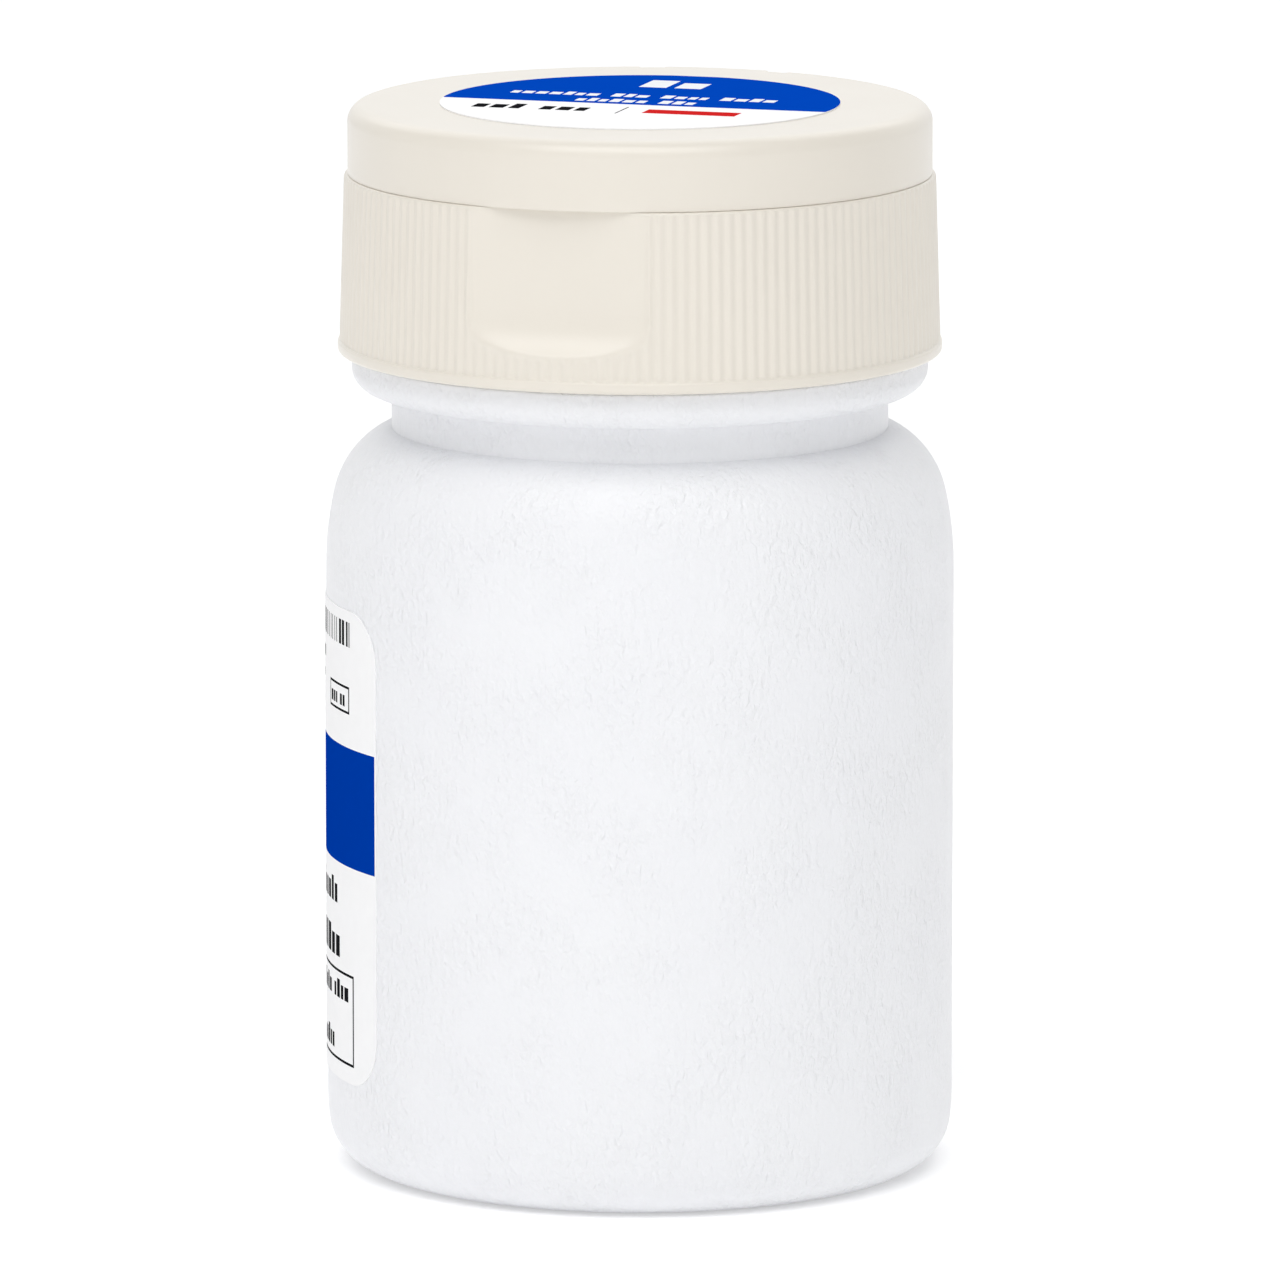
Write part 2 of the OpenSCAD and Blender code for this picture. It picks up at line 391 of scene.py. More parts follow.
# ---------------------------------------------------------------- materials
def shader(name, color, roughness, **sockets):
    """A material, its principled shader and a function that adds a node with values and links."""
    mat = bpy.data.materials.new(name)
    mat.use_nodes = True
    tree = mat.node_tree
    bsdf = tree.nodes["Principled BSDF"]
    bsdf.inputs["Base Color"].default_value = (*color, 1)
    bsdf.inputs["Roughness"].default_value = roughness
    for socket, value in sockets.items():
        bsdf.inputs[socket.replace("_", " ")].default_value = value

    def add(kind, links=None, **values):
        node = tree.nodes.new(kind)
        for key, value in values.items():
            if key in node.inputs:
                node.inputs[key].default_value = value
            else:
                setattr(node, key, value)
        for key, source in (links or {}).items():
            tree.links.new(source, node.inputs[key])
        return node

    return mat, bsdf, add, tree.links


def noise(add, place, scale, detail=3.0, roughness=0.5, distortion=0.0):
    """A noise texture. Its scale counts waves in a metre."""
    return add("ShaderNodeTexNoise", {"Vector": place}, Scale=scale, Detail=detail, Roughness=roughness,
               Distortion=distortion)


def tinted(add, factor, dark, light, low=0.3, high=0.7):
    """A colour that drifts between two close ones as factor goes from low to high."""
    ramp = add("ShaderNodeValToRGB", {"Fac": factor})
    ramp.color_ramp.elements[0].position = low
    ramp.color_ramp.elements[0].color = (*dark, 1)
    ramp.color_ramp.elements[1].position = high
    ramp.color_ramp.elements[1].color = (*light, 1)
    return ramp.outputs["Color"]


def ranged(add, value, to_low, to_high, from_low=0.0, from_high=1.0):
    """value, carried over from one range to another."""
    node = add("ShaderNodeMapRange", {"Value": value})
    limits = {"From Min": from_low, "From Max": from_high, "To Min": to_low, "To Max": to_high}
    for socket, number in limits.items():
        node.inputs[socket].default_value = number
    return node.outputs["Result"]


def bumped(add, links, bsdf, height, strength, distance):
    """Gives the shader a bump of that height map. Distance is in metres."""
    bump = add("ShaderNodeBump", {"Height": height}, Strength=strength, Distance=distance)
    links.new(bump.outputs["Normal"], bsdf.inputs["Normal"])


def bottle_plastic():
    """Blow-moulded polyethylene: a milky white with the leathery skin of its mould."""
    mat, bsdf, add, links = shader("bottle_plastic", (0.865, 0.87, 0.888), 0.4, Specular_IOR_Level=0.32)
    place = add("ShaderNodeTexCoord").outputs["Object"]
    drift = noise(add, place, 70, 2).outputs["Fac"]
    links.new(tinted(add, drift, (0.846, 0.852, 0.875), (0.857, 0.863, 0.882)), bsdf.inputs["Base Color"])
    patches = noise(add, place, 160, 2).outputs["Fac"]
    links.new(ranged(add, patches, 0.34, 0.42), bsdf.inputs["Roughness"])
    drawn = add("ShaderNodeMapping", {"Vector": place})
    drawn.inputs["Scale"].default_value = (1.0, 1.0, 0.6)
    wave = noise(add, drawn.outputs["Vector"], 2200, 2, 0.5, 0.3).outputs["Fac"]
    depth = ranged(add, patches, 0.45, 1.0, 0.35, 0.6)
    skin_height = add("ShaderNodeMath", {0: wave, 1: depth}, operation="MULTIPLY").outputs[0]
    bumped(add, links, bsdf, skin_height, 1.0, 0.00024)
    return mat


def moulded_plastic(name, dark, light, roughness):
    """Injection-moulded polypropylene: smooth and satin, with the faint drift of its flow."""
    mat, bsdf, add, links = shader(name, light, roughness, Coat_Weight=0.45, Coat_Roughness=0.34)
    place = add("ShaderNodeTexCoord").outputs["Object"]
    drift = noise(add, place, 60, 2).outputs["Fac"]
    links.new(tinted(add, drift, dark, light), bsdf.inputs["Base Color"])
    rough = ranged(add, noise(add, place, 260, 3).outputs["Fac"], roughness - 0.02, roughness + 0.05)
    links.new(rough, bsdf.inputs["Roughness"])
    bumped(add, links, bsdf, noise(add, place, 3800, 2).outputs["Fac"], 0.25, 0.00002)
    return mat


def label_ink(name, color):
    """Ink or bare face of a coated paper label."""
    mat, bsdf, add, links = shader(name, color, 0.5, Specular_IOR_Level=0.0)
    place = add("ShaderNodeTexCoord").outputs["Object"]
    mottle = noise(add, place, 900, 3).outputs["Fac"]
    dark = tuple(0.985 * c for c in color)
    links.new(tinted(add, mottle, dark, color), bsdf.inputs["Base Color"])
    bumped(add, links, bsdf, noise(add, place, 5200, 4, 0.65).outputs["Fac"], 0.2, 0.00002)
    return mat


def foam():
    """Closed-cell foam of the sealing gasket."""
    mat, bsdf, add, links = shader("gasket_foam", (0.78, 0.79, 0.8), 0.85)
    place = add("ShaderNodeTexCoord").outputs["Object"]
    cells = add("ShaderNodeTexVoronoi", {"Vector": place}, Scale=5200.0).outputs["Distance"]
    shade = tinted(add, cells, (0.7, 0.71, 0.72), (0.82, 0.83, 0.84), 0.05, 0.6)
    links.new(shade, bsdf.inputs["Base Color"])
    bumped(add, links, bsdf, cells, 0.5, 0.00005)
    return mat


def floor_paint():
    """The plain pale floor: a back-lit white table, with a trace of texture."""
    mat, bsdf, add, links = shader("floor_paint", (0.93, 0.93, 0.935), 0.8, Specular_IOR_Level=0.1,
                                   Emission_Strength=0.21)
    bsdf.inputs["Emission Color"].default_value = (1.0, 1.0, 1.0, 1.0)
    place = add("ShaderNodeTexCoord").outputs["Object"]
    drift = noise(add, place, 3, 2).outputs["Fac"]
    links.new(tinted(add, drift, (0.925, 0.925, 0.93), (0.935, 0.935, 0.94)), bsdf.inputs["Base Color"])
    return mat


# ---------------------------------------------------------------- bottle
BOTTLE_COLUMNS = 360
# Inside each radius the base has only one part in so many of the columns.
FEWER_COLUMNS = ((3, 8), (8, 4))
INNER_COLUMNS = 180
INNER_FEWER_R = 3


def outer_wall():
    """Outline of the bottle's outside, from the middle of its base to the top of its lip."""
    ring_in = heel(0)[0][0] - RING_W
    slope_in = (ring_in - PUSH_UP_SLOPE_W, PUSH_UP)
    under_collar = (NECK_R, COLLAR_Z - UNDER_COLLAR_ROUND)
    over_collar = (NECK_R + OVER_COLLAR_ROUND, COLLAR_TOP_Z)
    lip = (NECK_R, LIP_Z - LIP_ROUND)
    return route((MIDDLE_R, PUSH_UP), (slope_in, 1.5), bend(slope_in, 0, PUSH_UP_ROUND, -PUSH_UP_TURN, 4),
                 ((ring_in - RING_EDGE_W, RING_EDGE_H), 0.6), (ring_in, 0.0),
                 (heel(0)[0], 1.2), heel(0)[1:], ((BODY_R, SHOULDER_Z), 2.4), shoulder(0, NECK_R),
                 (under_collar, 0.6), bend(under_collar, 90, UNDER_COLLAR_ROUND, -90, 4),
                 ((COLLAR_R - COLLAR_ROUND, COLLAR_Z), 0.4),
                 bend((COLLAR_R - COLLAR_ROUND, COLLAR_Z), 0, COLLAR_ROUND, 90, 12),
                 ((COLLAR_R, COLLAR_TOP_Z - COLLAR_EDGE), 0.4),
                 bend((COLLAR_R, COLLAR_TOP_Z - COLLAR_EDGE), 90, COLLAR_EDGE, 90, 6),
                 (over_collar, 0.6), bend(over_collar, 180, OVER_COLLAR_ROUND, -90, 4),
                 (lip, 0.16), bend(lip, 90, LIP_ROUND, 90, 6))


def inner_wall():
    """Outline of the bottle's inside, from its lip down to the middle of its floor."""
    floor_z = PUSH_UP + WALL_T
    upward = route((MIDDLE_R, floor_z), ((heel(0)[0][0] - FLOOR_INSET, floor_z), 3),
                   (heel(WALL_T)[0], 2), heel(WALL_T)[1:], ((BODY_R - WALL_T, SHOULDER_Z), 3),
                   shoulder(WALL_T, MOUTH_R), ((MOUTH_R, LIP_Z - LIP_ROUND), 1.5))
    return bend((MOUTH_R + LIP_ROUND, LIP_Z), 180, LIP_ROUND, 90, 6)[:-1] + upward[::-1]


def bottle_ring(radius, z):
    """One ring of the outside, with the thread and the mould's parting line under the base."""
    part = next((part for reach, part in FEWER_COLUMNS if radius < reach), 1)
    angles = even_angles(BOTTLE_COLUMNS // part)
    r, h = radius, z
    if z > COLLAR_TOP_Z and radius <= NECK_R + NEAR:
        r = radius + (THREAD_R - NECK_R) * thread_height(angles, z, THREAD_Z)
    if PARTING_LOW_Z < z <= PUSH_UP and radius < PARTING_REACH:
        across = radius * np.sin(angles)
        h = z - PARTING_H * np.exp(-(across / PARTING_W) ** 2)
    return ring(angles, r, h)


def build_bottle(material):
    """The bottle's wall: its outside up to the lip, and its inside back down to the floor."""
    rings = [np.array([[0, 0, PUSH_UP - PARTING_H]])]
    rings += [bottle_ring(r, z) for r, z in outer_wall()]
    for r, z in inner_wall():
        columns = INNER_COLUMNS if r > INNER_FEWER_R else INNER_COLUMNS // 4
        rings.append(ring(even_angles(columns), r, z))
    rings.append(np.array([[0, 0, PUSH_UP + WALL_T]]))
    return skin("bottle_wall", rings, material)


# ---------------------------------------------------------------- closure base
RIB_COLUMNS = RIBS * 6
CLOSURE_COLUMNS = RIB_COLUMNS // 4


def smooth_min(a, b, width):
    """The smaller of a and b, rounded where they cross."""
    h = np.clip(0.5 + 0.5 * (b - a) / width, 0, 1)
    return b * (1 - h) + a * h - width * h * (1 - h)


def snap_reach(angles):
    """1 along the snap bead in front, and 0 beyond its ends."""
    return smooth((SNAP_HALF_ANGLE - np.abs(np.degrees(angles) - 270)) / SNAP_FADE_ANGLE)


def skirt_ring(envelope, z):
    """One ring of the skirt's outside: ribs, thumb recess and the hinge web's seat."""
    angles = even_angles(RIB_COLUMNS)
    groove = 0.5 - 0.5 * np.cos(angles * RIBS)
    ends = smooth((z - SKIRT_Z - BEAD_H) / RIB_FOOT_FADE) * smooth((LEDGE_Z - z) / RIB_TOP_FADE)
    below = min(max(RECESS_FOOT_Z - z, 0), RECESS_FOOT_R)
    depth = RECESS_Y + RECESS_FOOT_R - math.sqrt(RECESS_FOOT_R ** 2 - below ** 2)
    across = np.abs(envelope * np.cos(angles))
    side = RECESS_SIDE_SLOPE * np.maximum(across - RECESS_HALF_W, 0)
    cut = depth / np.maximum(-np.sin(angles), LEAST_FRONT) + side
    beside = smooth((cut - envelope) / RECESS_RIB_FADE)
    r = smooth_min(envelope - RIB_DEPTH * ends * beside * groove, cut, RECESS_BLEND)
    from_rear = np.abs(np.degrees(angles) - 90)
    seat = smooth((WEB_ANGLE / 2 + SEAT_SPARE_ANGLE - from_rear) / SEAT_FADE_ANGLE) * (z >= WEB_LOW_Z)
    return ring(angles, r + seat * (np.minimum(WEB_IN_R - SEAT_GAP, r) - r), z)


def skirt_heights():
    """Heights of the skirt's rings, close together where the recess runs out."""
    foot = SKIRT_Z + BEAD_H
    runout = RECESS_FOOT_Z - RECESS_FOOT_R
    return np.concatenate([
        np.linspace(foot, foot + 0.3, 4),
        np.arange(foot + 0.6, runout, 0.45),
        np.arange(runout + 0.01, RECESS_FOOT_Z + 0.1, 0.15),
        np.arange(RECESS_FOOT_Z + 0.5, LEDGE_Z - 1.2, 0.8),
        [LEDGE_Z - 1.05, LEDGE_Z - 0.85, WEB_LOW_Z - NEAR, WEB_LOW_Z, LEDGE_Z - 0.5, LEDGE_Z - LEDGE_ROUND]])


def bead_outline():
    """Outline of the bead at the skirt's foot, from the skirt's inside to the first rib ring."""
    foot, top = (BEAD_R - BEAD_ROUND, SKIRT_Z), (BEAD_R, SKIRT_Z + BEAD_H - BEAD_TOP_ROUND)
    return route((SKIRT_IN_R + SKIRT_IN_ROUND, SKIRT_Z), (foot, 0.7), bend(foot, 0, BEAD_ROUND, 90, 5),
                 top, bend(top, 90, BEAD_TOP_ROUND, BEAD_TOP_TURN, 5))


def deck_outline():
    """Outline from the ledge over the guide ring, across the deck and back under it."""
    guide_foot = (GUIDE_OUT_R + GUIDE_FOOT_ROUND, LEDGE_Z)
    guide_out = (GUIDE_OUT_R, GUIDE_Z - GUIDE_OUT_ROUND)
    guide_in = (GUIDE_IN_R + GUIDE_IN_ROUND, GUIDE_Z)
    deck_out = (GUIDE_IN_R, DECK_TOP_Z + DECK_ROUND)
    deck_in = (ORIFICE_R + ORIFICE_TOP_ROUND, DECK_TOP_Z)
    hole = (ORIFICE_R, DECK_Z + ORIFICE_UNDER_ROUND)
    under = (SKIRT_IN_R - DECK_UNDER_ROUND, DECK_Z)
    return route(guide_foot, bend(guide_foot, 180, GUIDE_FOOT_ROUND, -90, 3),
                 (guide_out, 0.12), bend(guide_out, 90, GUIDE_OUT_ROUND, 90, 5),
                 guide_in, bend(guide_in, 180, GUIDE_IN_ROUND, 90, 3),
                 (deck_out, 0.5), bend(deck_out, 270, DECK_ROUND, -90, 4),
                 (deck_in, 0.9), bend(deck_in, 180, ORIFICE_TOP_ROUND, 90, 5),
                 (hole, 0.4), bend(hole, 270, ORIFICE_UNDER_ROUND, 90, 3),
                 (under, 1.0), bend(under, 0, DECK_UNDER_ROUND, -90, 3))


def build_closure(material):
    """The screw closure's base: bead, ribbed skirt, guide ring, deck with its orifice, and inner thread."""
    fine = even_angles(RIB_COLUMNS)
    plain = even_angles(CLOSURE_COLUMNS)
    rings = [ring(plain if i == 0 else fine, r, z) for i, (r, z) in enumerate(bead_outline())]
    foot = SKIRT_Z + BEAD_H
    for z in skirt_heights():
        share = (z - foot) / (LEDGE_Z - foot)
        rings.append(skirt_ring(SKIRT_FOOT_R + (SKIRT_TOP_R - SKIRT_FOOT_R) * share, z))
    for r, z in bend((SKIRT_TOP_R, LEDGE_Z - LEDGE_ROUND), 90, LEDGE_ROUND, 90, 4):
        rings.append(skirt_ring(r, z))
    for r, z in deck_outline():
        on_guide = abs(r - GUIDE_OUT_R) < NEAR
        swell = math.exp(-((z - LEDGE_Z - SNAP_RISE) / SNAP_SPREAD) ** 2)
        rings.append(ring(plain, r + SNAP_DEPTH * snap_reach(plain) * on_guide * swell, z))
    low_round = (SKIRT_IN_R, SKIRT_IN_ROUND_Z)
    inside = route((SKIRT_IN_R, SKIRT_IN_TOP_Z), (low_round, 0.16),
                   bend(low_round, 270, SKIRT_IN_ROUND, 90, 4)[:-1])
    for r, z in inside:
        keeper = KEEPER_DEPTH * math.exp(-((z - DECK_Z + KEEPER_DROP) / KEEPER_SPREAD) ** 2)
        thread = (SKIRT_IN_R - SKIRT_THREAD_R) * thread_height(plain, z, THREAD_Z - SKIRT_THREAD_DROP)
        rings.append(ring(plain, r - np.maximum(thread, keeper), z))
    return skin("closure_skirt", rings, material, loop=True)


# ---------------------------------------------------------------- lid
def lid_angles():
    """Angles round the lid, close together at the sides of its two hinge notches."""
    half = math.degrees(NOTCH_W / 2 / LID_R)
    edges = [90 + s * NOTCH_ANGLE + t * half for s in (-1, 1) for t in (-1, 1)]
    close = np.arange(-NOTCH_REACH, NOTCH_REACH + NOTCH_STEP / 10, NOTCH_STEP)
    out = set(np.round(np.arange(0, 360, 1.0), 4))
    for edge in edges:
        out = {a for a in out if abs(a - edge) > NOTCH_REACH + NOTCH_STEP}
        out |= {round(edge + d, 4) for d in close}
    return np.radians(np.array(sorted(out)))


def notch_depth(angles):
    """How far the rim is set in at each angle."""
    out = np.zeros_like(angles)
    for side in (-1, 1):
        away = np.abs(np.degrees(angles) - 90 - side * NOTCH_ANGLE) * math.pi / 180 * LID_R
        out = np.maximum(out, NOTCH_DEPTH * smooth((NOTCH_W / 2 + NOTCH_FADE / 2 - away) / NOTCH_FADE))
    return out


def lid_underside(under_z):
    """Outline under the lid, from its middle over the plug ring to the inside of the rim."""
    plug_in = PLUG_R - PLUG_T
    inner_root, inner_tip = (plug_in - PLUG_ROOT_ROUND, under_z), (plug_in, PLUG_Z + PLUG_TIP_ROUND)
    lead, outer_root = (PLUG_R - PLUG_LEAD_W, PLUG_Z), (PLUG_R, under_z - PLUG_ROOT_ROUND)
    rim_root, rim_foot = (LID_IN_R - LID_IN_ROUND, under_z), (LID_IN_R, RIM_Z + RIM_IN_ROUND)
    return route((LID_UNDER_RING, under_z), (inner_root, 2), bend(inner_root, 0, PLUG_ROOT_ROUND, -90, 4),
                 (inner_tip, 1.0), bend(inner_tip, 270, PLUG_TIP_ROUND, 90, 3),
                 lead, bend(lead, 0, PLUG_TIP_ROUND, PLUG_LEAD_TURN, 3),
                 ((PLUG_R, PLUG_Z + PLUG_LEAD_H), 0.3),
                 (outer_root, 1.0), bend(outer_root, 90, PLUG_ROOT_ROUND, -90, 4),
                 (rim_root, 1.2), bend(rim_root, 0, LID_IN_ROUND, -90, 4),
                 (rim_foot, 0.12), bend(rim_foot, 270, RIM_IN_ROUND, 90, 3))


def build_lid(material):
    """The flip lid: its underside with plug ring and snap bead, its notched rim and its rounded top."""
    angles = lid_angles()
    under_z = LID_TOP_Z - LID_TOP_T
    rings = [np.array([[0, 0, under_z - GATE_H]])]
    for r, z in lid_underside(under_z):
        gate = GATE_H * math.exp(-(r / GATE_R) ** 2)
        on_rim = abs(r - LID_IN_R) < NEAR
        swell = math.exp(-((z - LID_Z - LID_SNAP_RISE) / LID_SNAP_SPREAD) ** 2)
        rings.append(ring(angles, r - LID_SNAP_DEPTH * snap_reach(angles) * on_rim * swell, z - gate))
    notch = notch_depth(angles)
    foot, edge = (LID_R - RIM_OUT_ROUND, RIM_Z), (LID_R, LID_TOP_Z - LID_EDGE_R)
    rim = route(foot, bend(foot, 0, RIM_OUT_ROUND, 90, 3), (edge, 0.8), bend(edge, 90, LID_EDGE_R, 90, 10))
    for r, z in rim:
        rings.append(ring(angles, r - notch, z))
    for r in (LID_R - LID_EDGE_R - LID_TOP_IN, *LID_TOP_RINGS):
        rings.append(ring(angles, r, LID_TOP_Z))
    rings.append(np.array([[0, 0, LID_TOP_Z]]))
    return skin("lid_shell", rings, material)


# ---------------------------------------------------------------- gasket and hinge
def build_gasket(material):
    """The flat foam ring, with its edges rounded."""
    low, high = gasket_low[2], gasket_high[2]
    outer, inner, edge = gasket_high[0], GASKET_IN_R, GASKET_EDGE
    outline = route((inner + edge, low),
                    ((outer - edge, low), 0.5), bend((outer - edge, low), 0, edge, 90, 3),
                    (outer, high - edge), bend((outer, high - edge), 90, edge, 90, 3),
                    ((inner + edge, high), 0.5), bend((inner + edge, high), 180, edge, 90, 3),
                    (inner, low + edge), bend((inner, low + edge), 270, edge, 90, 3)[:-1])
    rings = [ring(even_angles(INNER_COLUMNS), r, z) for r, z in outline]
    return skin("gasket_ring", rings, material, loop=True)


def strip(name, stations, outline, material):
    """A closed bar. Each station is a function that places a point (out, up) of the outline."""
    count = len(outline)
    points = [place(o, u) for place in stations for o, u in outline]
    faces = []
    for s in range(len(stations) - 1):
        for i in range(count):
            j = (i + 1) % count
            a, b = s * count, (s + 1) * count
            faces.append((a + i, b + i, b + j, a + j))
    faces.append(tuple(range(count)))
    last = (len(stations) - 1) * count
    faces.append(tuple(last + i for i in reversed(range(count))))
    return mesh_object(name, points, faces, material)


def hinge_strip(low, high, in_r, thickness, waist, rows):
    """Outline of a hinge strip, thinned to waist of its thickness at the hinge's height."""
    outer, inner = [], []
    for i in range(rows + 1):
        z = low + (high - low) * i / rows
        thin = 1 - (1 - waist) * math.exp(-((z - HINGE_Z) / HINGE_THIN_H) ** 2)
        outer.append((in_r + thickness * thin, z))
        inner.append((in_r, z))
    return outer + inner[::-1]


def build_web(material):
    """The living hinge between the notches, thinnest on the hinge's axis."""
    outline = hinge_strip(WEB_LOW_Z, WEB_HIGH_Z, WEB_IN_R, WEB_T, WEB_WAIST, WEB_STEPS)

    def station(angle):
        a = math.radians(angle)
        return lambda out, up: (out * math.cos(a), out * math.sin(a), up)

    stations = [station(90 + WEB_ANGLE * (i / WEB_STEPS - 0.5)) for i in range(WEB_STEPS + 1)]
    return strip("hinge_web_strip", stations, outline, material)


def build_strap(name, side, material):
    """One strap beside the web: it stands on the ledge and runs up the lid's notch."""
    outline = hinge_strip(LEDGE_Z, LEDGE_Z + STRAP_H, STRAP_IN_R, STRAP_T, STRAP_WAIST, STRAP_ROWS)
    angle = math.radians(90 + side * NOTCH_ANGLE)
    out_dir = (math.cos(angle), math.sin(angle))
    along = (-math.sin(angle), math.cos(angle))

    def station(shift):
        return lambda out, up: (out * out_dir[0] + shift * along[0], out * out_dir[1] + shift * along[1], up)

    stations = [station(STRAP_W * (i / STRAP_STEPS - 0.5)) for i in range(STRAP_STEPS + 1)]
    return strip(name, stations, outline, material)


# ---------------------------------------------------------------- printed labels
# Places in a label's list of inks. White is the bare paper.
WHITE, BLUE, BLACK, RED, PALE = range(5)


def grid_lines(low, high, step, marks, first, second):
    """Sorted cuts from low to high: even ones, and one at each side of every mark.

    first and second say which two numbers of a mark are its sides.
    """
    cuts = set(np.round(np.linspace(low, high, max(2, round((high - low) / step)) + 1), 4))
    fixed = {round(m[k], 4) for m in marks for k in (first, second) if low < m[k] < high}
    fixed |= {round(low, 4), round(high, 4)}
    cuts = {c for c in cuts if min(abs(c - f) for f in fixed) > step * 0.2}
    return sorted(cuts | fixed)


def printed_sheet(name, size, marks, extent, place, inks, step, extra=()):
    """A thin closed sheet whose printed marks are faces of their own.

    marks are (left, right, low, high, ink), and a later one covers an earlier one. extent(u) gives the
    sheet's low and high edge at u, and place(u, v, lift) gives the point that far along, up and out.
    """
    us = sorted(set(grid_lines(0, size[0], step, marks, 0, 1)) | {round(e, 4) for e in extra})
    vs = grid_lines(0, size[1], step * 4, marks, 2, 3)
    index, points, faces, kinds = {}, [], [], []

    def corner(i, v, lift):
        key = (i, round(v, 4), lift)
        if key not in index:
            index[key] = len(points)
            points.append(place(us[i], v, lift))
        return index[key]

    def add_face(corners, ink):
        corners = [p for k, p in enumerate(corners) if p != corners[k - 1]]
        if len(corners) > 2:
            faces.append(corners)
            kinds.append(ink)

    def ink_at(u, v):
        ink = WHITE
        for left, right, low, high, mark_ink in marks:
            if left < u < right and low < v < high:
                ink = mark_ink
        return ink

    for i in range(len(us) - 1):
        (low_a, high_a), (low_b, high_b) = extent(us[i]), extent(us[i + 1])
        for below, above in zip(vs, vs[1:]):
            cell = [corner(i, min(max(below, low_a), high_a), 1),
                    corner(i + 1, min(max(below, low_b), high_b), 1),
                    corner(i + 1, min(max(above, low_b), high_b), 1),
                    corner(i, min(max(above, low_a), high_a), 1)]
            add_face(cell, ink_at((us[i] + us[i + 1]) / 2, (below + above) / 2))
        low_front, low_back = [(corner(i, low_a, lift), corner(i + 1, low_b, lift)) for lift in (1, 0)]
        top_front, top_back = [(corner(i, high_a, lift), corner(i + 1, high_b, lift)) for lift in (1, 0)]
        add_face([low_back[0], top_back[0], top_back[1], low_back[1]], WHITE)
        add_face([low_front[1], low_front[0], low_back[0], low_back[1]], WHITE)
        add_face([top_front[0], top_front[1], top_back[1], top_back[0]], WHITE)
    for i, order in ((0, 1), (len(us) - 1, -1)):
        low, high = extent(us[i])
        front = [corner(i, v, 1) for v in sorted({round(min(max(v, low), high), 4) for v in vs})]
        back = [corner(i, high, 0), corner(i, low, 0)]
        add_face((front + back)[::order], WHITE)
    obj = mesh_object(name, points, faces, inks[0])
    for ink in inks[1:]:
        obj.data.materials.append(ink)
    obj.data.polygons.foreach_set("material_index", kinds)
    return obj


def word_row(marks, rng, left, right, low, high, ink, letter):
    """A row of plain blocks in groups, as long and as high as a line of print. letter is a block's width."""
    u = left
    while u < right - letter * 2:
        for _ in range(rng.randint(3, 8)):
            width = letter * rng.uniform(0.7, 1.15)
            if u + width > right:
                break
            top = high if rng.random() < TALL_SHARE else high - (high - low) * SHORT_BY
            marks.append((u, u + width, low, top, ink))
            u += width + letter * LETTER_GAP
        u += letter


def outline_box(marks, left, right, low, high, line, ink):
    """An empty box, drawn with lines of that width."""
    marks.extend([(left, right, low, low + line, ink), (left, right, high - line, high, ink),
                  (left, left + line, low, high, ink), (right - line, right, low, high, ink)])


def bar_row(marks, rng, left, right, low, high, ink):
    """A row of thick and thin bars, like those of a machine-readable mark."""
    u = right
    while u > left:
        width = rng.choice((0.18, 0.18, 0.36, 0.54))
        marks.append((u - width, u, low, high, ink))
        u -= width + rng.choice((0.2, 0.4, 0.55))


